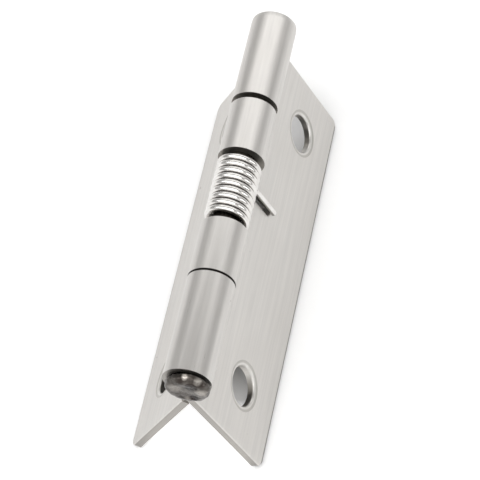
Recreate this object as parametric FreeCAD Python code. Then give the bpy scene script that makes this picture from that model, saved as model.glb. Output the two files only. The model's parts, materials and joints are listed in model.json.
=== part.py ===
import FreeCAD, Part
import math
import os

# Self-closing spring butt hinge, standing on the outer edges of its two leaves.
# Frame: Y runs along the barrel, Z is up, the fixed leaf falls away to +X and the moving leaf to -X.
# Each leaf is drawn flat first, with s outward from the barrel's axis and n along its front normal.

Vec = FreeCAD.Vector

# Driving dimensions, in millimetres and degrees

# leaves
LEAF_LENGTH = 63.0          # along the barrel
LEAF_REACH = 25.0           # from the barrel's axis to the outer edge
SHEET = 1.2                 # sheet thickness
FRONT_FACE_N = -1.6         # front face of the sheet, measured from the barrel's axis
HALF_ANGLE = 26.6           # each leaf's lean from the vertical at rest
CORNER_R = 1.2              # outer corners of a leaf
EDGE_ROUND = 0.3            # rolled-over edge left by the punch on the front face

# barrel
BARREL_R = 3.5
JOGGLE_R = 1.5              # centre-line radius of the reverse bend before the roll
ROLL_END_ANGLE = -18.0      # where the rolled lip ends, seen from s towards n
FAR_LONG = 15.6             # long knuckle at the headed end, with the head's thickness
FAR_GAP = 0.95              # end play beside the long knuckle at the headed end
FAR_SHORT = 9.1             # short knuckle beside it
SPRING_WINDOW = 12.2        # room for the coil between the short knuckles
NEAR_SHORT = 8.9            # short knuckle at the peened end
NEAR_GAP = 0.15             # running gap beside the long knuckle at the peened end
STOP_CLEARANCE = 0.2        # between a notch edge and the other leaf's back at rest
SEAT_CLEARANCE = 0.45       # round the pin's head, where the sheet is cut back

# screw holes
HOLE_S = 16.0
HOLE_SPACING = 45.6
HOLE_R = 3.0
SINK_WIDTH = 0.8            # of the countersink, outside the hole's wall
SINK_DEPTH = 0.3

# pin
PIN_CLEARANCE = 0.08        # radial, in the knuckles
HEAD_INSET = 0.05           # of the head's rim from the barrel's surface
HEAD_THICKNESS = 0.8
HEAD_EDGE = 0.15
PEEN_INSET = 0.25           # of the peened end's rim from the barrel's surface
PEEN_LENGTH = 1.65          # how far the peened end stands out of the knuckle
PEEN_FLARE = 0.45           # where the peened end reaches its full width
PEEN_EDGE = 0.5             # rounding of the peened end's outer edge

# torsion spring
WIRE_R = 0.475
COIL_ROOM = 0.205           # between the pin and the coil, which closes in as the hinge opens
COIL_PASSES = 9             # how often the wire crosses the top of the barrel
COIL_FAR_ROOM = 0.92        # from the short knuckle to the coil's end, at the wire's middle
COIL_NEAR_ROOM = 1.37
LEG_CLEARANCE = 0.03        # between a leg and the face it bears on
LEG_BEND_S = 6.8            # where a leg turns to lie along the leaf
LEG_BEND_R = 1.5            # centre-line radius of that bend
LEG_PAST_SLOT = 0.6         # leg that lies on the leaf beyond the slot
SLOT_END_S = 12.2
SLOT_ROOM = 0.475           # on either side of the wire
SLOT_CORNER = 0.5

# Sizes that follow from these

BORE_R = BARREL_R - SHEET
PIN_R = BORE_R - PIN_CLEARANCE
HEAD_R = BARREL_R - HEAD_INSET
PEEN_R = BARREL_R - PEEN_INSET
COIL_R = PIN_R + COIL_ROOM + WIRE_R
SINK_R = HOLE_R + SINK_WIDTH
MID_R = BARREL_R - SHEET / 2
BACK_FACE_N = FRONT_FACE_N - SHEET
MID_N = FRONT_FACE_N - SHEET / 2
HALF_RAD = math.radians(HALF_ANGLE)
NOTCH_S = ((STOP_CLEARANCE - BACK_FACE_N - BACK_FACE_N * math.cos(2 * HALF_RAD))
           / math.sin(2 * HALF_RAD))

Y_FAR = LEAF_LENGTH / 2
Y_NEAR = -LEAF_LENGTH / 2
Y_FAR_LONG = Y_FAR - FAR_LONG
Y_FAR_SHORT = Y_FAR_LONG - FAR_GAP
Y_WINDOW_FAR = Y_FAR_SHORT - FAR_SHORT
Y_WINDOW_NEAR = Y_WINDOW_FAR - SPRING_WINDOW
Y_NEAR_SHORT = Y_WINDOW_NEAR - NEAR_SHORT
Y_NEAR_LONG = Y_NEAR_SHORT - NEAR_GAP
Y_COIL_FAR = Y_WINDOW_FAR - COIL_FAR_ROOM
Y_COIL_NEAR = Y_WINDOW_NEAR + COIL_NEAR_ROOM
Y_PEEN = Y_NEAR - PEEN_LENGTH

# Each leg leaves the coil along the helix's own tangent, so its lean follows from the pitch.
LEG_N = FRONT_FACE_N + WIRE_R + LEG_CLEARANCE
LEG_BEND_REACH = math.hypot(LEG_BEND_S, LEG_N)
LEG_RUN = math.sqrt(LEG_BEND_REACH ** 2 - COIL_R ** 2)
LEG_ANGLE = math.degrees(math.atan2(LEG_N, LEG_BEND_S) - math.acos(COIL_R / LEG_BEND_REACH))
COIL_START = -(180 + HALF_ANGLE + LEG_ANGLE)            # round the barrel, from Z towards X
COIL_TURNS = COIL_PASSES - 1 - COIL_START / 180
PITCH = (Y_COIL_FAR - Y_COIL_NEAR) / COIL_TURNS
LEG_LEAN = LEG_RUN * PITCH / (2 * math.pi * COIL_R)
Y_FIXED_LEG = Y_COIL_FAR + LEG_LEAN
Y_MOVING_LEG = Y_COIL_NEAR - LEG_LEAN

# The stance puts the lowest edges on Z = 0 and the middle of the whole length on Y = 0.
AXIS_Z = LEAF_REACH * math.cos(HALF_RAD) - BACK_FACE_N * math.sin(HALF_RAD)
SHIFT_Y = -(Y_FAR + Y_PEEN) / 2


def polar(radius, degrees, centre=(0.0, 0.0)):
    """A point of the leaf's section, at an angle from s towards n."""
    angle = math.radians(degrees)
    return Vec(centre[0] + radius * math.cos(angle), 0, centre[1] + radius * math.sin(angle))


def arc(radius, start, end, centre=(0.0, 0.0)):
    """An arc of the section through its own middle angle."""
    middle = (start + end) / 2
    return Part.Arc(polar(radius, start, centre), polar(radius, middle, centre),
                    polar(radius, end, centre)).toShape()


def line(a, b):
    return Part.LineSegment(a, b).toShape()


def box(s0, s1, y0, y1, n0, n1):
    return Part.makeBox(s1 - s0, y1 - y0, n1 - n0, Vec(s0, y0, n0))


def rolled_section():
    """The sheet's section: flat leaf, small reverse bend, and a knuckle rolled round the axis."""
    rise = MID_R + MID_N
    joggle_s = math.sqrt(rise * (MID_R - MID_N + 2 * JOGGLE_R))
    centre = (joggle_s, MID_N - JOGGLE_R)
    meet = math.degrees(math.atan2(centre[1], centre[0]))
    joggle_meet = meet + 180
    lip = ROLL_END_ANGLE - 360
    inner_joggle = JOGGLE_R + SHEET / 2
    outer_joggle = JOGGLE_R - SHEET / 2
    edges = [
        line(Vec(LEAF_REACH, 0, FRONT_FACE_N), Vec(joggle_s, 0, FRONT_FACE_N)),
        arc(inner_joggle, 90, joggle_meet, centre),
        arc(BORE_R, meet, lip),
        line(polar(BORE_R, lip), polar(BARREL_R, lip)),
        arc(BARREL_R, lip, meet),
        arc(outer_joggle, joggle_meet, 90, centre),
        line(Vec(joggle_s, 0, BACK_FACE_N), Vec(LEAF_REACH, 0, BACK_FACE_N)),
        line(Vec(LEAF_REACH, 0, BACK_FACE_N), Vec(LEAF_REACH, 0, FRONT_FACE_N)),
    ]
    return Part.Face(Part.Wire(Part.__sortEdges__(edges)))


def round_corners(leaf):
    """The two outer corners of the sheet."""
    corners = [edge for edge in leaf.Edges
               if len(edge.Vertexes) == 2
               and all(abs(v.X - LEAF_REACH) < 1e-4 for v in edge.Vertexes)
               and abs(edge.Vertexes[0].Z - edge.Vertexes[1].Z) > SHEET / 2]
    return leaf.makeFillet(CORNER_R, corners)


def round_front_edges(leaf):
    """The punch's roll-over along the outer edge, the two ends and the corners of the front face."""
    def is_outline(edge):
        box_ = edge.BoundBox
        on_front = abs(box_.ZMin - FRONT_FACE_N) < 1e-4 and abs(box_.ZMax - FRONT_FACE_N) < 1e-4
        past_notch = box_.XMin > NOTCH_S - 1e-3
        at_side = box_.XMax > LEAF_REACH - CORNER_R - 1e-3
        return on_front and past_notch and at_side
    return leaf.makeFillet(EDGE_ROUND, [edge for edge in leaf.Edges if is_outline(edge)])


def screw_hole(y):
    """A straight hole with a shallow countersink on the front face."""
    top = FRONT_FACE_N
    steps = [(0, top + SHEET), (SINK_R, top + SHEET), (SINK_R, top), (HOLE_R, top - SINK_DEPTH),
             (HOLE_R, top - 2 * SHEET), (0, top - 2 * SHEET)]
    wire = Part.makePolygon([Vec(r, 0, n) for r, n in steps] + [Vec(0, 0, top + SHEET)])
    tool = Part.Face(wire).revolve(Vec(0, 0, 0), Vec(0, 0, 1), 360)
    tool.translate(Vec(HOLE_S, y, 0))
    return tool


def leg_slot(y):
    """The slot that lets a spring leg come from behind the sheet and lie on its front."""
    half_width = WIRE_R + SLOT_ROOM
    slot = box(NOTCH_S - SHEET, SLOT_END_S, y - half_width, y + half_width,
               BACK_FACE_N - SHEET, FRONT_FACE_N + SHEET)
    ends = [edge for edge in slot.Edges
            if all(abs(v.X - SLOT_END_S) < 1e-6 for v in edge.Vertexes)
            and abs(edge.Vertexes[0].Z - edge.Vertexes[1].Z) > SHEET]
    return slot.makeFillet(SLOT_CORNER, ends)


def make_leaf(windows, slot_y):
    """One folded sheet: windows are the stretches of Y where its edge is notched back."""
    leaf = rolled_section().extrude(Vec(0, LEAF_LENGTH, 0))
    leaf.translate(Vec(0, Y_NEAR, 0))
    leaf = round_corners(leaf)
    reach = 2 * BARREL_R
    for y0, y1, s in windows:
        leaf = leaf.cut(box(-reach, s, y0, y1, -reach, reach))
    leaf = round_front_edges(leaf)
    for side in (-1, 1):
        leaf = leaf.cut(screw_hole(side * HOLE_SPACING / 2))
    return leaf.cut(leg_slot(slot_y)).removeSplitter()


def stand(shape, moving):
    """Turns a flat-drawn shape into the tent stance and lifts it to the barrel's height."""
    placed = shape.copy()
    placed.rotate(Vec(0, 0, 0), Vec(0, 1, 0), 90 - HALF_ANGLE)
    if moving:
        placed = placed.mirror(Vec(0, 0, 0), Vec(1, 0, 0))
    return lift(placed)


def lift(shape):
    moved = shape.copy()
    moved.translate(Vec(0, SHIFT_Y, AXIS_Z))
    return moved


def fixed_leaf():
    """Long knuckles at both ends, cut back under the pin's head."""
    windows = [(Y_NEAR_LONG, Y_FAR_LONG, NOTCH_S),
               (Y_FAR - HEAD_THICKNESS, Y_FAR + SHEET, HEAD_R + SEAT_CLEARANCE)]
    return stand(make_leaf(windows, Y_FIXED_LEG), moving=False)


def moving_leaf():
    """Two short knuckles on either side of the coil."""
    windows = [(Y_FAR_SHORT, Y_FAR + SHEET, NOTCH_S),
               (Y_WINDOW_NEAR, Y_WINDOW_FAR, NOTCH_S),
               (Y_NEAR - SHEET, Y_NEAR_SHORT, NOTCH_S)]
    return stand(make_leaf(windows, Y_MOVING_LEG), moving=True)


def hinge_pin():
    """A flat head at the far end, a plain shank, and a peened end that flares over the knuckle."""
    head_y = Y_FAR - HEAD_THICKNESS
    flare_y = Y_NEAR - PEEN_FLARE
    edge_y = Y_PEEN + PEEN_EDGE
    crown_r = PEEN_R - PEEN_EDGE
    diagonal = math.sqrt(0.5)
    outline = [
        line(Vec(0, Y_FAR, 0), Vec(HEAD_R - HEAD_EDGE, Y_FAR, 0)),
        line(Vec(HEAD_R - HEAD_EDGE, Y_FAR, 0), Vec(HEAD_R, Y_FAR - HEAD_EDGE, 0)),
        line(Vec(HEAD_R, Y_FAR - HEAD_EDGE, 0), Vec(HEAD_R, head_y, 0)),
        line(Vec(HEAD_R, head_y, 0), Vec(PIN_R, head_y, 0)),
        line(Vec(PIN_R, head_y, 0), Vec(PIN_R, Y_NEAR, 0)),
        line(Vec(PIN_R, Y_NEAR, 0), Vec(PEEN_R, flare_y, 0)),
        line(Vec(PEEN_R, flare_y, 0), Vec(PEEN_R, edge_y, 0)),
        Part.Arc(Vec(PEEN_R, edge_y, 0),
                 Vec(crown_r + PEEN_EDGE * diagonal, edge_y - PEEN_EDGE * diagonal, 0),
                 Vec(crown_r, Y_PEEN, 0)).toShape(),
        line(Vec(crown_r, Y_PEEN, 0), Vec(0, Y_PEEN, 0)),
        line(Vec(0, Y_PEEN, 0), Vec(0, Y_FAR, 0)),
    ]
    profile = Part.Face(Part.Wire(outline))
    return lift(profile.revolve(Vec(0, 0, 0), Vec(0, 1, 0), 360))


def leg_path_points(moving):
    """Bend and tip of a leg's centre line, where it lies on its leaf."""
    turn = FreeCAD.Rotation(Vec(0, 1, 0), 90 - HALF_ANGLE)
    bend = turn.multVec(Vec(LEG_BEND_S, 0, LEG_N))
    tip = turn.multVec(Vec(SLOT_END_S + LEG_PAST_SLOT, 0, LEG_N))
    side = -1 if moving else 1
    y = Y_MOVING_LEG if moving else Y_FIXED_LEG
    return Vec(side * bend.x, y, bend.z), Vec(side * tip.x, y, tip.z)


def leg(root_face, bend, tip):
    """The wire carried on from one of the coil's end faces, over its bend and along the leaf."""
    root = root_face.CenterOfMass
    incoming = (bend - root).normalize()
    outgoing = (tip - bend).normalize()
    half_turn = incoming.getAngle(outgoing) / 2
    trim = LEG_BEND_R * math.tan(half_turn)
    inward = (outgoing - incoming).normalize()
    bend_start = bend - incoming * trim
    bend_middle = bend + inward * LEG_BEND_R * (1 / math.cos(half_turn) - 1)
    bend_end = bend + outgoing * trim
    path = Part.Wire([
        line(root, bend_start),
        Part.Arc(bend_start, bend_middle, bend_end).toShape(),
        line(bend_end, tip),
    ])
    return path.makePipeShell([root_face.OuterWire], True, True)


def coil():
    """Evenly pitched turns, wound from the far end, over the -X side first."""
    start = math.radians(COIL_START)
    outward = Vec(math.sin(start), 0, math.cos(start))
    along = Vec(0, -1, 0)
    helix = Part.makeHelix(PITCH, PITCH * COIL_TURNS, COIL_R, 0, True)
    helix.Placement = FreeCAD.Placement(Vec(0, Y_COIL_FAR, 0),
                                        FreeCAD.Rotation(outward, along.cross(outward), along, "ZXY"))
    first = helix.Edges[0]
    section = Part.Circle(first.valueAt(first.FirstParameter), first.tangentAt(first.FirstParameter), WIRE_R)
    return Part.Wire(helix.Edges).makePipeShell([Part.Wire(section.toShape())], True, True)


def torsion_spring():
    """A close coil whose two legs leave it tangentially, one for each leaf."""
    body = coil()
    near_end, far_end = sorted(sorted(body.Faces, key=lambda face: face.Area)[:2],
                               key=lambda face: face.CenterOfMass.y)
    fixed_leg = leg(far_end, *leg_path_points(moving=False))
    moving_leg = leg(near_end, *leg_path_points(moving=True))
    return lift(body.fuse(fixed_leg).fuse(moving_leg))


NODES = {
    "fixed_leaf": fixed_leaf,
    "moving_leaf": moving_leaf,
    "hinge_pin": hinge_pin,
    "torsion_spring": torsion_spring,
}

os.makedirs("parts", exist_ok=True)
for name, make in NODES.items():
    shape = make()
    if shape.ShapeType != "Solid" and len(shape.Solids) == 1:
        shape = shape.Solids[0]
    shape.exportStep("parts/" + name + ".step")
    bound = shape.BoundBox
    print(name, "valid", shape.isValid(), "solids", len(shape.Solids), "volume", round(shape.Volume, 2),
          "X", round(bound.XMin, 2), round(bound.XMax, 2), "Y", round(bound.YMin, 2), round(bound.YMax, 2),
          "Z", round(bound.ZMin, 2), round(bound.ZMax, 2))
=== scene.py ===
import json
import math

import bpy
from mathutils import Matrix, Vector, noise


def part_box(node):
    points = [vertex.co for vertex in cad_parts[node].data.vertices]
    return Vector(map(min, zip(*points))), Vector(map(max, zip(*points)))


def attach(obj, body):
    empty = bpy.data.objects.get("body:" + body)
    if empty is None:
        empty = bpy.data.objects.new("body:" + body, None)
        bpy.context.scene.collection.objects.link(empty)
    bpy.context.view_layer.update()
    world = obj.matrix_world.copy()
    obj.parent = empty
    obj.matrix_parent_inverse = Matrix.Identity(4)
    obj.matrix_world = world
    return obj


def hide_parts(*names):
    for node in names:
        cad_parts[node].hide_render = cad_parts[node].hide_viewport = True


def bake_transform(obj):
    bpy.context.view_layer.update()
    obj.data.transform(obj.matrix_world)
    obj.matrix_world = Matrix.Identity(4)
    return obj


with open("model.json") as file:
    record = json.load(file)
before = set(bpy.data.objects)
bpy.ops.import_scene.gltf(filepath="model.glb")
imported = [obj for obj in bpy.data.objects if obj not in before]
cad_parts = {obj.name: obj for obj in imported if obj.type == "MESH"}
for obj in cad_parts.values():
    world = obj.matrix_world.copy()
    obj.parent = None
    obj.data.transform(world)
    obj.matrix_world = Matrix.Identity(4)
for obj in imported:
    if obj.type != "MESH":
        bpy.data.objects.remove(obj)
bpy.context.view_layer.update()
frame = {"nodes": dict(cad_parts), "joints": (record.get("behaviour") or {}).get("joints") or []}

# Looks of a self-closing spring butt hinge: brushed stainless leaves, a bright coil and a pin with a
# dark peened end.
# The lengths of the hinge and of the camera are in millimetres, and turned into metres where they are
# used. Those of the lights and of the floor are in metres.

MM = 0.001

# Sizes of the hinge, as in the solids. A name in S is a distance outward along a leaf from the
# barrel's axis, and a name in N one along the leaf's front normal.
HALF_ANGLE = math.radians(26.6)
FRONT_FACE_N = -1.6
BARREL_R = 3.5
SEAM_Y = -14.5
PIN_R = 2.22
WIRE_R = 0.475
COIL_R = 2.9
COIL_PASSES = 9
COIL_FAR_Y = 5.755
COIL_NEAR_Y = -4.155
LEG_CLEARANCE = 0.03
LEG_BEND_S = 6.8
LEG_BEND_R = 1.5
LEG_TIP_S = 12.8
NEAR_KNUCKLE_Y = -30.675

AXIS_Z = frame["joints"][0]["pos_m"][2] / MM
PIN_LOW, PIN_HIGH = (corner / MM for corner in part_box("hinge_pin"))

# Screw holes
HOLE_S = 16.0
HOLE_R = 3.0
SINK_R = 3.8
HOLE_YS = (-21.975, 23.625)
SHEET = 1.2
SKIN = 0.004
WALL_SKIN = 0.02
RIM_START_R = 3.3
RIM_DIP = 0.1
RIM_STEPS = 8
RIM_SIDES = 128

# Head of the pin: the radii of its faintly crowned face, and its rim as pairs of inset and drop
HEAD_THICKNESS = 0.8
HEAD_RINGS = (0.4, 1.1, 1.8, 2.5, 3.0)
HEAD_CROWN = 0.04
HEAD_RIM = ((0.12, 0.045), (0.04, 0.08), (0.0, 0.16))

# Peened end of the pin. The neck goes by radius, distance past the knuckle and how peened it is.
PEEN_R = 3.5
PEEN_NECK = ((PIN_R + 0.2, 0.06, 0.0), (2.8, 0.25, 0.5), (PEEN_R, 0.45, 1.0))
PEEN_SHOULDER = 0.55
PEEN_FLATNESS = 0.3
PEEN_OFFSET = (0.2, -0.15)
PEEN_BLOW_SCALE = 0.8
PEEN_BLOW_DEPTH = 0.4
PEEN_BLOW_SEED = Vector((4.1, 7.3, 1.9))
PEEN_CHIP_SCALE = 1.7
PEEN_CHIP_DEPTH = 0.2
PEEN_CHIP_SEED = Vector((9.7, 2.1, 5.5))

# Painted highlights, and lighter and darker patches, on the peened end: place, radius and change of
# brightness
PEEN_PAINTED_MARKS = (
    (Vector((-0.2, -31.5, 3.15)), 0.6, 1.3),
    (Vector((1.75, -31.65, 2.7)), 0.8, 0.42),
    (Vector((2.3, -32.1, 0.4)), 1.0, 0.25),
    (Vector((0.2, -32.1, -1.9)), 0.7, 0.25),
    (Vector((-1.6, -32.1, 0.6)), 1.3, 0.2),
    (Vector((0.8, -32.1, 1.7)), 1.1, -0.3),
    (Vector((1.0, -32.1, -1.6)), 0.9, -0.25),
)
UNMARKED_POLISH = 0.1
RAISED_POLISH = 0.25

# How much the wire is drawn in at its sheared ends
WIRE_END_EDGE = 0.07

# Mesh density
PEEN_RINGS = 48
SHANK_RINGS = 24
WIRE_SIDES = 24
WIRE_STEP = 0.3
PIN_SIDES = 160


# Meshes

def mesh_object(name, vertices, faces, uvs=None, smooth_angle=40.0):
    """An object from points in millimetres, shaded smooth below an angle."""
    mesh = bpy.data.meshes.new(name)
    mesh.from_pydata([Vector(v) * MM for v in vertices], [], faces)
    if uvs:
        layer = mesh.uv_layers.new(name="UVMap")
        for loop in mesh.loops:
            layer.data[loop.index].uv = uvs[loop.vertex_index]
    mesh.shade_smooth()
    mesh.set_sharp_from_angle(angle=math.radians(smooth_angle))
    piece = bpy.data.objects.new(name, mesh)
    bpy.context.scene.collection.objects.link(piece)
    return piece


def tube_faces(ring_count, sides, capped=True):
    """Quads between rings of points, and a face over each end ring."""
    faces = []
    for ring in range(ring_count - 1):
        first, second = ring * sides, (ring + 1) * sides
        for corner in range(sides):
            beside = (corner + 1) % sides
            faces.append((first + corner, first + beside, second + beside, second + corner))
    if capped:
        last = (ring_count - 1) * sides
        faces.append(tuple(reversed(range(sides))))
        faces.append(tuple(last + corner for corner in range(sides)))
    return faces


def leaf_point(outward, forward, side, y):
    """A point given outward along a leaf and along its front normal, from the barrel's axis."""
    x = outward * math.sin(HALF_ANGLE) + forward * math.cos(HALF_ANGLE)
    z = AXIS_Z - outward * math.cos(HALF_ANGLE) + forward * math.sin(HALF_ANGLE)
    return Vector((side * x, y, z))


def leaf_normal(side):
    """The direction that a leaf's front faces."""
    return Vector((side * math.cos(HALF_ANGLE), 0, math.sin(HALF_ANGLE)))


def straight(start, end):
    """Points from start towards end, without end."""
    count = max(1, round((end - start).length / WIRE_STEP))
    return [start.lerp(end, i / count) for i in range(count)]


def rounded_corner(before, corner, after, radius):
    """Points of the arc that rounds a corner."""
    incoming = (corner - before).normalized()
    outgoing = (after - corner).normalized()
    turn = incoming.angle(outgoing)
    trim = radius * math.tan(turn / 2)
    start = corner - incoming * trim
    inward = (outgoing - incoming).normalized()
    centre = corner + inward * radius / math.cos(turn / 2)
    axis = incoming.cross(outgoing).normalized()
    count = max(4, round(turn * radius / WIRE_STEP) * 2)
    spoke = start - centre
    return [centre + Matrix.Rotation(turn * i / count, 3, axis) @ spoke for i in range(count + 1)]


def helix(start_angle, turns):
    """The coil's centre line, with angles round the barrel from Z towards X."""
    count = round(turns * 2 * math.pi * COIL_R / WIRE_STEP)
    points = []
    for i in range(count + 1):
        angle = start_angle + 2 * math.pi * turns * i / count
        y = COIL_FAR_Y + (COIL_NEAR_Y - COIL_FAR_Y) * i / count
        points.append(Vector((COIL_R * math.sin(angle), y, AXIS_Z + COIL_R * math.cos(angle))))
    return points


def spring_path():
    """Fixed leg, coil and moving leg, as one line from tip to tip."""
    leg_n = FRONT_FACE_N + WIRE_R + LEG_CLEARANCE
    reach = math.hypot(LEG_BEND_S, leg_n)
    leg_angle = math.atan2(leg_n, LEG_BEND_S) - math.acos(COIL_R / reach)
    start_angle = -(math.pi + HALF_ANGLE + leg_angle)
    turns = COIL_PASSES - 1 - start_angle / math.pi
    pitch = (COIL_FAR_Y - COIL_NEAR_Y) / turns
    lean = math.sqrt(reach ** 2 - COIL_R ** 2) * pitch / (2 * math.pi * COIL_R)
    coil = helix(start_angle, turns)

    def leg(root, side, y):
        bend = leaf_point(LEG_BEND_S, leg_n, side, y)
        tip = leaf_point(LEG_TIP_S, leg_n, side, y)
        arc = rounded_corner(root, bend, tip, LEG_BEND_R)
        return straight(root, arc[0]) + arc[:-1] + straight(arc[-1], tip) + [tip]

    fixed_leg = leg(coil[0], 1, COIL_FAR_Y + lean)
    moving_leg = leg(coil[-1], -1, COIL_NEAR_Y - lean)
    return list(reversed(fixed_leg))[:-1] + coil + moving_leg[1:]


def wire_rings(path):
    """Centre, radius, tangent and normal of each ring, with the two sheared ends drawn in a little."""
    ahead = path[1:] + path[-1:]
    behind = path[:1] + path[:-1]
    tangents = [(after - before).normalized() for before, after in zip(behind, ahead)]
    normal = tangents[0].orthogonal().normalized()
    rings = [(path[0], WIRE_R - WIRE_END_EDGE, tangents[0], normal)]
    first_full = path[0] + tangents[0] * WIRE_END_EDGE
    rings.append((first_full, WIRE_R, tangents[0], normal))
    for i in range(1, len(path) - 1):
        normal = (tangents[i - 1].rotation_difference(tangents[i]) @ normal).normalized()
        rings.append((path[i], WIRE_R, tangents[i], normal))
    rings.append((path[-1] - tangents[-1] * WIRE_END_EDGE, WIRE_R, tangents[-1], normal))
    rings.append((path[-1], WIRE_R - WIRE_END_EDGE, tangents[-1], normal))
    return rings


def spring_mesh():
    """The wire as rings along its path, with U along it and V round it."""
    vertices, uvs = [], []
    travelled = 0.0
    rings = wire_rings(spring_path())
    before = rings[0][0]
    for centre, radius, tangent, normal in rings:
        travelled += (centre - before).length
        before = centre
        side = tangent.cross(normal)
        for corner in range(WIRE_SIDES):
            angle = 2 * math.pi * corner / WIRE_SIDES
            vertices.append(centre + radius * (normal * math.cos(angle) + side * math.sin(angle)))
            uvs.append((travelled, WIRE_R * angle))
    faces = tube_faces(len(rings), WIRE_SIDES)
    return mesh_object("spring_wire_coil", vertices, faces, uvs, smooth_angle=50)


def hammer_dent(place):
    """Depth of the hammer's dents at a point, in millimetres, by broad blows and small ones."""
    broad = 0.5 + 0.5 * noise.noise(place * PEEN_BLOW_SCALE + PEEN_BLOW_SEED)
    small = 0.5 + 0.5 * noise.noise(place * PEEN_CHIP_SCALE + PEEN_CHIP_SEED)
    return PEEN_BLOW_DEPTH * broad + PEEN_CHIP_DEPTH * small


def wear_and_painted_marks_at(place, dent):
    """Brightness of the peened end at a point: high spots are rubbed, dents keep their scale, and the
    marks add painted highlights and lighter and darker patches.
    """
    depth = dent / (PEEN_BLOW_DEPTH + PEEN_CHIP_DEPTH)
    wear_and_painted_marks = UNMARKED_POLISH + RAISED_POLISH * (0.5 - depth)
    for mark, radius, brightness in PEEN_PAINTED_MARKS:
        wear_and_painted_marks += brightness * max(0.0, 1 - ((place - mark).length / radius) ** 2)
    return wear_and_painted_marks


def pin_profile():
    """Radius, place along the barrel and how peened it is, from the head's middle to the other end."""
    head_y, head_r = PIN_HIGH.y, PIN_HIGH.x
    seat_y = head_y - HEAD_THICKNESS
    profile = [(r, head_y - HEAD_CROWN * (r / head_r) ** 2, 0.0) for r in HEAD_RINGS]
    profile += [(head_r - inward, head_y - down, 0.0) for inward, down in HEAD_RIM]
    profile.append((head_r, seat_y, 0.0))
    step = (NEAR_KNUCKLE_Y - seat_y) / SHANK_RINGS
    profile += [(PIN_R, seat_y + step * i, 0.0) for i in range(SHANK_RINGS + 1)]
    profile += [(radius, NEAR_KNUCKLE_Y - past, share) for radius, past, share in PEEN_NECK]
    shoulder = NEAR_KNUCKLE_Y - PEEN_SHOULDER
    dome = PIN_LOW.y - shoulder
    for i in range(1, PEEN_RINGS):
        turn = math.pi / 2 * i / PEEN_RINGS
        radius = PEEN_R * math.cos(turn) ** PEEN_FLATNESS
        profile.append((radius, shoulder + dome * math.sin(turn), 1.0))
    return profile


def pin_mesh():
    """Head, shank and peened end turned round the barrel, with the peened end knocked out of true."""
    profile = pin_profile()
    vertices, wear_and_painted_marks = [], []
    for radius, y, share in profile:
        for corner in range(PIN_SIDES):
            angle = 2 * math.pi * corner / PIN_SIDES
            across, up = radius * math.cos(angle), radius * math.sin(angle)
            place = Vector((across, y, up))
            dent = hammer_dent(place)
            inward = 1 - share * dent / PEEN_R
            flat = 1 - radius / PEEN_R
            vertices.append((across * inward + share * PEEN_OFFSET[0], y + share * dent * flat,
                             AXIS_Z + up * inward + share * PEEN_OFFSET[1]))
            wear_and_painted_marks.append(wear_and_painted_marks_at(place, dent))
    pin = mesh_object("peened_pin", vertices, tube_faces(len(profile), PIN_SIDES), smooth_angle=60)
    # The attribute holds rubbed wear and the painted marks.
    pin.data.attributes.new("wear_and_painted_marks", "FLOAT", "POINT").data.foreach_set("value", wear_and_painted_marks)
    return pin


def rim_profile():
    """Radius and depth of the hole's edge: eased over by the punch, then straight down the wall."""
    wall = HOLE_R - WALL_SKIN
    rounding = RIM_START_R - wall
    profile = [(SINK_R, -SKIN), ((SINK_R + RIM_START_R) / 2, RIM_DIP / 2)]
    for i in range(RIM_STEPS + 1):
        turn = math.pi / 2 * i / RIM_STEPS
        profile.append((RIM_START_R - rounding * math.sin(turn),
                        RIM_DIP + rounding * (1 - math.cos(turn))))
    profile.append((wall, SHEET - 2 * SKIN))
    return profile


def hole_rim(name, side, y):
    """The skin of one screw hole, from the face of the leaf down its wall."""
    profile = rim_profile()
    vertices, uvs = [], []
    for radius, depth in profile:
        for corner in range(RIM_SIDES):
            angle = 2 * math.pi * corner / RIM_SIDES
            outward = HOLE_S + radius * math.cos(angle)
            along = y + radius * math.sin(angle)
            vertices.append(leaf_point(outward, FRONT_FACE_N - depth, side, along))
            uvs.append((HOLE_R * angle, depth))
    faces = tube_faces(len(profile), RIM_SIDES, capped=False)
    if side > 0:
        faces = [tuple(reversed(face)) for face in faces]
    return mesh_object(name, vertices, faces, uvs, smooth_angle=60)


# Materials

# Colours
SHEET_DARK = (0.575, 0.56, 0.54, 1)
SHEET_LIGHT = (0.64, 0.622, 0.597, 1)
SHEET_CLOUD = (0.59, 0.565, 0.535, 1)
SHEET_SPECK = (0.20, 0.18, 0.16, 1)
SHEARED_EDGE = (0.30, 0.285, 0.265, 1)
# Painted shade along the lower edge of the right leaf
EDGE_PAINTED_SHADE = (0.06, 0.056, 0.05, 1)
# Painted shade in the seam between the near knuckles
SEAM_PAINTED_SHADE = (0.03, 0.027, 0.024, 1)
DULL_RING = (0.43, 0.415, 0.39, 1)
RIM_LIGHT = (0.68, 0.665, 0.64, 1)
RIM_DARK = (0.57, 0.555, 0.53, 1)
# Painted shade on the walls of the holes, deeper in the left leaf
WALL_PAINTED_DEEP_SHADE = (0.13, 0.125, 0.115, 1)
WALL_PAINTED_LIGHT_SHADE = (0.44, 0.425, 0.40, 1)
WIRE_BRIGHT = (0.72, 0.705, 0.685, 1)
WIRE_GREASY = (0.63, 0.612, 0.59, 1)
# Painted dark reflection along the fixed leg
LEG_PAINTED_REFLECTION = (0.30, 0.29, 0.275, 1)
HEAD_DARK = (0.58, 0.565, 0.545, 1)
HEAD_LIGHT = (0.65, 0.635, 0.61, 1)
# Painted shade on the shank, which shows in the gaps between the knuckles
SHANK_PAINTED_SHADE_DARK = (0.03, 0.027, 0.023, 1)
SHANK_PAINTED_SHADE_LIGHT = (0.065, 0.058, 0.05, 1)
SCALE_BLACK = (0.014, 0.011, 0.010, 1)
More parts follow.
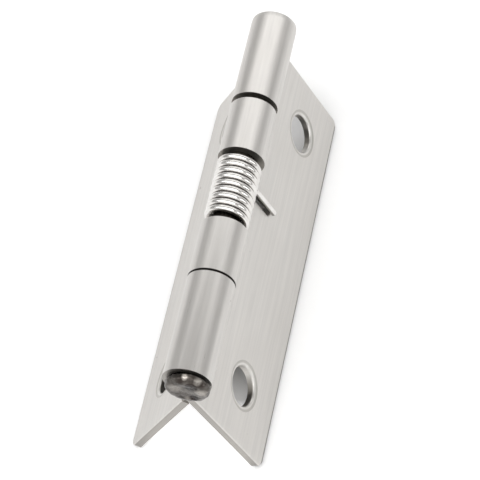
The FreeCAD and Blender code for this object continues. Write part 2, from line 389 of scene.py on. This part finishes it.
# Rubbed wear, and the painted highlights of the marks
SCALE_RUBBED_AND_HIGHLIGHT = (0.70, 0.655, 0.60, 1)
SCALE_BROWN = (0.05, 0.036, 0.03, 1)
SCALE_PITTED = (0.02, 0.015, 0.013, 1)
PAPER_DARK = (0.94, 0.94, 0.94, 1)
PAPER_LIGHT = (0.96, 0.96, 0.96, 1)
PAPER_SHADE = (0.42, 0.415, 0.405, 1)

# Grain, as cells of noise per metre along X, Y and Z
FINE_BRUSHING = (9000, 160, 9000)
BROAD_BRUSHING = (2200, 60, 2200)
CLOUDS = (110, 70, 110)
SPECKS = (1300, 900, 1300)
RIM_CLOUDS = (700, 700, 700)
PIN_LINES = (6000, 140, 6000)
SCALE_GRAIN = (900, 900, 900)
SCALE_BLOTCHES = (420, 420, 420)
PAPER_TOOTH = (625, 625, 625)

# Grain, as cells of noise per millimetre along the U and V of a mesh
PUNCH_SCORES = (1.3, 0.3, 1)
DIE_LINES = (0.35, 22, 1)
GREASE_PATCHES = (0.6, 1.2, 1)

# The span that most noises are read over
NOISE_SPAN = (0.3, 0.7)

# Where wear, finishes, painted shade and a painted reflection fade in: the value at which there is
# none, and the one at which it is full
END_FACE_NORMAL_Y = (0.8, 0.97)
OUTER_EDGE_Z = (0.92, 0.80)
EDGE_SHADE_SIDE_X = (0.0, 1.0)
SEAM_DISTANCE = (0.23, 0.15)
SEAM_RADIUS = (BARREL_R + 0.06, BARREL_R + 0.02)
RIM_SHINE_DEPTH = (RIM_DIP * 0.6, RIM_DIP)
WALL_SHADE_DEPTH = (0.3, 0.45)
WALL_SHADE_SIDE_X = (-1.0, 1.0)
LEG_LINE_FROM_LEAF = (-0.45, -0.3)
LEG_LINE_TO_TOP = (0.6, 0.45)
LEG_LINE_NORMAL_Y = (0.0, -0.2)
LEG_LINE_TRAVELLED = (10.5, 9.5)
PEENED_Y = (NEAR_KNUCKLE_Y + 0.2, NEAR_KNUCKLE_Y - 0.2)
HEADED_Y = (PIN_HIGH.y - HEAD_THICKNESS - 0.1, PIN_HIGH.y - HEAD_THICKNESS)

# How much rougher the pin's head is than the rest of it
HEAD_EXTRA_ROUGHNESS = 0.18


class Shader:
    """A material's node tree with short ways to add and join nodes."""

    def __init__(self, name):
        self.material = bpy.data.materials.new(name)
        self.material.use_nodes = True
        self.tree = self.material.node_tree
        self.bsdf = self.tree.nodes["Principled BSDF"]

    def put(self, value, socket):
        """Joins a node's output to a socket, or gives the socket a plain value."""
        if isinstance(value, bpy.types.NodeSocket):
            self.tree.links.new(value, socket)
        else:
            socket.default_value = value

    def node(self, kind, inputs=None, **settings):
        made = self.tree.nodes.new("ShaderNode" + kind)
        for key, value in settings.items():
            setattr(made, key, value)
        for key, value in (inputs or {}).items():
            self.put(value, made.inputs[key])
        return made

    def where(self, source="Object"):
        """The unscaled places, or the directions, of a kind of texture coordinate."""
        return self.node("TexCoord").outputs[source]

    def place(self, scale, source="Object", offset=(0, 0, 0)):
        """Texture places, scaled per axis and then moved."""
        inputs = {"Vector": self.where(source), "Scale": scale, "Location": offset}
        return self.node("Mapping", inputs).outputs["Vector"]

    def part(self, vector, axis):
        return self.node("SeparateXYZ", {"Vector": vector}).outputs[axis]

    def grain(self, cells, detail, source="Object", roughness=0.5):
        """A noise with its own number of cells along each axis."""
        inputs = {"Vector": self.place(cells, source), "Scale": 1.0,
                  "Detail": detail, "Roughness": roughness}
        return self.node("TexNoise", inputs).outputs["Fac"]

    def spread(self, value, ends, onto=(0.0, 1.0), curve="LINEAR"):
        """Maps the span between two ends onto another span."""
        inputs = {"Value": value, "From Min": ends[0], "From Max": ends[1],
                  "To Min": onto[0], "To Max": onto[1]}
        return self.node("MapRange", inputs, interpolation_type=curve).outputs["Result"]

    def fade(self, value, ends):
        """0 to 1 between two lengths that are given in millimetres."""
        return self.spread(value, [end * MM for end in ends])

    def mix(self, share, a, b):
        made = self.node("Mix", data_type="RGBA")
        self.put(share, made.inputs[0])
        self.put(a, made.inputs[6])
        self.put(b, made.inputs[7])
        return made.outputs[2]

    def combine(self, operation, a, b=0.0):
        made = self.node("Math", operation=operation)
        self.put(a, made.inputs[0])
        self.put(b, made.inputs[1])
        return made.outputs[0]

    def product(self, first, *others):
        """All values multiplied together."""
        total = first
        for other in others:
            total = self.combine("MULTIPLY", total, other)
        return total

    def bump(self, height, depth, strength=1.0, over=None):
        """Relief of a depth in millimetres, over another relief where one is given."""
        inputs = {"Height": height, "Distance": depth * MM, "Strength": strength}
        if over is not None:
            inputs["Normal"] = over
        return self.node("Bump", inputs).outputs["Normal"]

    def brushed_along_barrel(self):
        """Gloss that spreads across the brush lines, which run along Y."""
        self.bsdf.inputs["Anisotropic"].default_value = 0.75
        self.bsdf.inputs["Anisotropic Rotation"].default_value = 0.25
        along = self.node("CombineXYZ", {"Y": 1.0})
        self.put(along.outputs["Vector"], self.bsdf.inputs["Tangent"])

    def bare_metal(self, tone, roughness, relief):
        """Joins the colour, roughness and relief of bare metal, and gives back the material."""
        self.put(tone, self.bsdf.inputs["Base Color"])
        self.put(roughness, self.bsdf.inputs["Roughness"])
        self.put(relief, self.bsdf.inputs["Normal"])
        self.bsdf.inputs["Metallic"].default_value = 1.0
        return self.material


def on_end_face(shader):
    """How far a leaf's surface faces along the barrel, as its sheared ends do."""
    facing = shader.combine("ABSOLUTE", shader.part(shader.where("Normal"), "Y"))
    return shader.spread(facing, END_FACE_NORMAL_Y)


def in_painted_seam_shade(shader):
    """Painted shade: a thin band round the barrel on both sides of the seam between the two near
    knuckles.
    """
    from_axis = shader.place((1, 0, 1), offset=(0, 0, -AXIS_Z * MM))
    radius = shader.node("VectorMath", {0: from_axis}, operation="LENGTH").outputs["Value"]
    from_seam = shader.combine("SUBTRACT", shader.part(shader.where(), "Y"), SEAM_Y * MM)
    distance = shader.combine("ABSOLUTE", from_seam)
    return shader.product(shader.fade(radius, SEAM_RADIUS), shader.fade(distance, SEAM_DISTANCE))


def leaf_steel():
    """Satin stainless sheet: brushed along the barrel, faintly clouded, with a few specks of dirt, and
    painted shade at the near knuckles' seam and along the right leaf's lower edge.
    """
    shader = Shader("leaf_steel")
    shader.brushed_along_barrel()
    fine = shader.grain(FINE_BRUSHING, detail=3)
    broad = shader.grain(BROAD_BRUSHING, detail=2)
    cloud = shader.grain(CLOUDS, detail=4, roughness=0.6)
    speck = shader.grain(SPECKS, detail=1)
    tone = shader.mix(shader.spread(broad, NOISE_SPAN), SHEET_DARK, SHEET_LIGHT)
    tone = shader.mix(shader.spread(cloud, (0.35, 0.7), (0.0, 0.35)), tone, SHEET_CLOUD)
    tone = shader.mix(shader.spread(speck, (0.79, 0.82)), tone, SHEET_SPECK)
    tone = shader.mix(on_end_face(shader), tone, SHEARED_EDGE)
    across = shader.part(shader.where(), "X")
    height = shader.part(shader.where(), "Z")
    # Within a millimetre of the floor the leaves take the sheared tone on the left and painted shade on
    # the right.
    edge = shader.mix(shader.fade(across, EDGE_SHADE_SIDE_X), SHEARED_EDGE, EDGE_PAINTED_SHADE)
    tone = shader.mix(shader.fade(height, OUTER_EDGE_Z), tone, edge)
    # Painted shade in the seam between the near knuckles
    tone = shader.mix(in_painted_seam_shade(shader), tone, SEAM_PAINTED_SHADE)
    roughness = shader.spread(fine, (0.25, 0.75), (0.27, 0.40))
    relief = shader.bump(broad, 0.004, over=shader.bump(fine, 0.0035))
    return shader.bare_metal(tone, roughness, relief)


def punched_steel():
    """A punched hole: a dull ring, a bright rim, and a wall with painted shade further down, deeper in
    the left leaf's holes.
    """
    shader = Shader("punched_steel")
    scores = shader.grain(PUNCH_SCORES, detail=1, source="UV")
    cloud = shader.grain(RIM_CLOUDS, detail=3)
    depth = shader.part(shader.where("UV"), "Y")
    rim = shader.mix(shader.spread(cloud, (0.35, 0.65)), RIM_LIGHT, RIM_DARK)
    across = shader.part(shader.where(), "X")
    # Painted shade on the wall, deeper on the left leaf than on the right
    wall = shader.mix(shader.fade(across, WALL_SHADE_SIDE_X), WALL_PAINTED_DEEP_SHADE, WALL_PAINTED_LIGHT_SHADE)
    tone = shader.mix(shader.spread(depth, WALL_SHADE_DEPTH), rim, wall)
    tone = shader.mix(shader.spread(depth, RIM_SHINE_DEPTH), DULL_RING, tone)
    roughness = shader.spread(scores, NOISE_SPAN, (0.32, 0.42))
    return shader.bare_metal(tone, roughness, shader.bump(scores, 0.004))


def on_leg_painted_reflection(shader):
    """Painted dark reflection: a line along the flank of the fixed leg that faces the near end."""
    normal = shader.where("Normal")
    dot = shader.node("VectorMath", {0: normal, 1: leaf_normal(1)}, operation="DOT_PRODUCT")
    off_leaf = dot.outputs["Value"]
    travelled = shader.part(shader.where("UV"), "X")
    return shader.product(shader.spread(off_leaf, LEG_LINE_FROM_LEAF),
                          shader.spread(off_leaf, LEG_LINE_TO_TOP),
                          shader.spread(shader.part(normal, "Y"), LEG_LINE_NORMAL_Y),
                          shader.spread(travelled, LEG_LINE_TRAVELLED))


def spring_steel():
    """Bright drawn wire with fine die lines along it, a trace of grease, and a painted dark reflection
    along the fixed leg.
    """
    shader = Shader("spring_steel")
    lines = shader.grain(DIE_LINES, detail=3, source="UV")
    patches = shader.grain(GREASE_PATCHES, detail=2, source="UV")
    tone = shader.mix(shader.spread(patches, (0.4, 0.7)), WIRE_BRIGHT, WIRE_GREASY)
    # Painted dark reflection along the fixed leg
    tone = shader.mix(on_leg_painted_reflection(shader), tone, LEG_PAINTED_REFLECTION)
    roughness = shader.spread(lines, NOISE_SPAN, (0.17, 0.21))
    return shader.bare_metal(tone, roughness, shader.bump(lines, 0.0008))


def pin_steel():
    """Plain steel: bright at the head, dark along the shank as painted shade for the gaps where it
    shows, brown with scale where peened, with rubbed spots and painted highlights there.
    """
    shader = Shader("pin_steel")
    along = shader.part(shader.where(), "Y")
    peened = shader.fade(along, PEENED_Y)
    headed = shader.fade(along, HEADED_Y)
    lines = shader.grain(PIN_LINES, detail=3)
    scale = shader.grain(SCALE_GRAIN, detail=5, roughness=0.65)
    blotch = shader.grain(SCALE_BLOTCHES, detail=2)
    clean = shader.mix(shader.spread(lines, NOISE_SPAN), HEAD_DARK, HEAD_LIGHT)
    # Painted shade along the shank
    shank_shade = shader.mix(shader.spread(lines, NOISE_SPAN), SHANK_PAINTED_SHADE_DARK, SHANK_PAINTED_SHADE_LIGHT)
    wear_and_painted_marks = shader.node("Attribute", attribute_name="wear_and_painted_marks").outputs["Fac"]
    # Rubbed wear and painted highlights lighten the scale.
    burnt = shader.mix(shader.spread(wear_and_painted_marks, (0.0, 0.9)), SCALE_BLACK, SCALE_RUBBED_AND_HIGHLIGHT)
    burnt = shader.mix(shader.spread(blotch, (0.45, 0.7), (0.0, 0.45)), burnt, SCALE_BROWN)
    burnt = shader.mix(shader.spread(scale, (0.55, 0.75), (0.0, 0.5)), burnt, SCALE_PITTED)
    tone = shader.mix(headed, shader.mix(peened, shank_shade, burnt), clean)
    roughness = shader.spread(scale, NOISE_SPAN, (0.18, 0.42))
    roughness = shader.combine("ADD", roughness, shader.product(headed, HEAD_EXTRA_ROUGHNESS))
    pits = shader.product(scale, peened)
    relief = shader.bump(pits, 0.12, strength=0.8, over=shader.bump(lines, 0.004))
    return shader.bare_metal(tone, roughness, relief)


def studio_paper():
    """Matt white paper with a faint tooth, dim under the leaves and glowing at the near end."""
    shader = Shader("studio_paper")
    paper = shader.mix(shader.grain(PAPER_TOOTH, detail=2), PAPER_DARK, PAPER_LIGHT)
    position = shader.node("NewGeometry").outputs["Position"]
    along = shader.part(position, "Y")
    across = shader.combine("ABSOLUTE", shader.part(position, "X"))
    shade = shader.product(shader.spread(along, SHADE_NEAR_Y, curve="SMOOTHSTEP"),
                           shader.spread(along, SHADE_FAR_Y, curve="SMOOTHSTEP"),
                           shader.spread(across, SHADE_SIDE_X, curve="SMOOTHSTEP"))
    shader.put(shader.mix(shade, paper, PAPER_SHADE), shader.bsdf.inputs["Base Color"])
    glow = shader.product(shader.spread(along, GLOW_NEAR_Y), shader.spread(along, GLOW_FAR_Y),
                          shader.spread(across, GLOW_SIDE_X), GLOW_STRENGTH)
    shader.bsdf.inputs["Emission Color"].default_value = (1, 1, 1, 1)
    shader.put(glow, shader.bsdf.inputs["Emission Strength"])
    shader.bsdf.inputs["Roughness"].default_value = 0.9
    shader.bsdf.inputs["Specular IOR Level"].default_value = 0.1
    return shader.material


# Object

def wear(piece, material):
    piece.data.materials.clear()
    piece.data.materials.append(material)


def dress():
    steel = leaf_steel()
    for node in ("fixed_leaf", "moving_leaf"):
        wear(frame["nodes"][node], steel)

    punched = punched_steel()
    for body, side in (("fixed_leaf_body", 1), ("moving_leaf_body", -1)):
        for place, y in zip(("near", "far"), HOLE_YS):
            rim = hole_rim(body.replace("body", place + "_hole_rim"), side, y)
            wear(rim, punched)
            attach(rim, body)

    pin = pin_mesh()
    wear(pin, pin_steel())
    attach(pin, "fixed_leaf_body")
    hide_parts("hinge_pin")

    spring = spring_mesh()
    wear(spring, spring_steel())
    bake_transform(spring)
    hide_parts("torsion_spring")


# Studio

CAMERA_AZIMUTH = math.radians(14.612)
CAMERA_ELEVATION = math.radians(57.248)
CAMERA_ROLL = math.radians(-3.739)
CAMERA_AIM = Vector((1.97, -4.55, 19.94))
CAMERA_DISTANCE = 295.6
FOCAL_LENGTH = 153.1
SENSOR = 36.0

FLOOR_SIZE = 4.0
FLOOR_DROP = 0.00005
AMBIENT = 0.5

# Three lights hang in one level plane: one box in the far row, which the barrel mirrors, and two
# in the near row behind the camera. Their sides are given as angles round the barrel. A fourth
# faces the near end.
LIGHT_HEIGHT = 0.62
FAR_ROW = (0.37, 1.37)
NEAR_ROW = (-0.75, -0.05)
FAR_BOX = (-46, 50)
LEFT_BOX = (-60, 25)
RIGHT_BOX = (45, 80)
FAR_RADIANCE = 1.12
NEAR_RADIANCE = 2.2
FRONT_BOX_PLACE = Vector((-0.05, -0.95, 0.42))
FRONT_BOX_SIZE = (1.1, 0.6)
FRONT_RADIANCE = 0.85

# The floor in the hollow under the leaves is dim, and it glows at the near end, where it shows
# between the leaves. Each pair gives where a fade starts and ends, along the barrel or out from
# under it.
SHADE_NEAR_Y = (-0.0235, -0.0100)
SHADE_FAR_Y = (0.032, 0.010)
SHADE_SIDE_X = (0.0105, 0.0010)
GLOW_NEAR_Y = (-0.046, -0.031)
GLOW_SIDE_X = (0.0088, 0.0068)
GLOW_FAR_Y = (-0.0198, -0.0220)
GLOW_STRENGTH = 0.6


def add_camera():
    data = bpy.data.cameras.new("camera")
    data.lens = FOCAL_LENGTH
    data.sensor_width = SENSOR
    data.clip_start, data.clip_end = 0.01, 10
    camera = bpy.data.objects.new("camera", data)
    back = Vector((math.sin(CAMERA_AZIMUTH) * math.cos(CAMERA_ELEVATION),
                   -math.cos(CAMERA_AZIMUTH) * math.cos(CAMERA_ELEVATION),
                   math.sin(CAMERA_ELEVATION)))
    level = Vector((math.cos(CAMERA_AZIMUTH), math.sin(CAMERA_AZIMUTH), 0))
    raised = back.cross(level)
    right = math.cos(CAMERA_ROLL) * level + math.sin(CAMERA_ROLL) * raised
    up = back.cross(right)
    turn = Matrix((right, up, back)).transposed().to_4x4()
    camera.matrix_world = Matrix.Translation((CAMERA_AIM + back * CAMERA_DISTANCE) * MM) @ turn
    bpy.context.scene.collection.objects.link(camera)
    bpy.context.scene.camera = camera


def overhead(angles, row):
    """Middle and size of a level rectangle that spans two angles seen from the barrel."""
    left, right = (LIGHT_HEIGHT * math.tan(math.radians(angle)) for angle in angles)
    near, far = row
    return Vector(((left + right) / 2, (near + far) / 2, LIGHT_HEIGHT)), (right - left, far - near)


def softbox(name, middle, size, radiance, towards=None):
    """A soft light of an even brightness, level unless it is turned towards a point."""
    data = bpy.data.lights.new(name, "AREA")
    data.shape = "RECTANGLE"
    data.size, data.size_y = size
    data.energy = radiance * math.pi * size[0] * size[1]
    lamp = bpy.data.objects.new(name, data)
    lamp.location = middle
    if towards is not None:
        lamp.rotation_euler = (towards - middle).to_track_quat("-Z", "Y").to_euler()
    bpy.context.scene.collection.objects.link(lamp)


def add_floor():
    """A level sheet of paper just under the hinge, which isn't part of the object."""
    half = FLOOR_SIZE / 2
    corners = [(-half, -half, 0), (half, -half, 0), (half, half, 0), (-half, half, 0)]
    mesh = bpy.data.meshes.new("floor")
    mesh.from_pydata(corners, [], [(0, 1, 2, 3)])
    floor = bpy.data.objects.new("floor", mesh)
    floor.location.z = -FLOOR_DROP
    bpy.context.scene.collection.objects.link(floor)
    wear(floor, studio_paper())


def add_world():
    world = bpy.data.worlds.new("studio")
    world.use_nodes = True
    background = world.node_tree.nodes["Background"]
    background.inputs["Color"].default_value = (1.0, 0.995, 0.985, 1)
    background.inputs["Strength"].default_value = AMBIENT
    bpy.context.scene.world = world


def add_studio():
    add_world()
    add_floor()
    softbox("softbox_far", *overhead(FAR_BOX, FAR_ROW), FAR_RADIANCE)
    softbox("softbox_left", *overhead(LEFT_BOX, NEAR_ROW), NEAR_RADIANCE)
    softbox("softbox_right", *overhead(RIGHT_BOX, NEAR_ROW), NEAR_RADIANCE)
    softbox("softbox_front", FRONT_BOX_PLACE, FRONT_BOX_SIZE, FRONT_RADIANCE, towards=Vector((0, 0, 0)))


dress()
add_studio()
add_camera()

scene = bpy.context.scene
scene.view_settings.view_transform = "Standard"
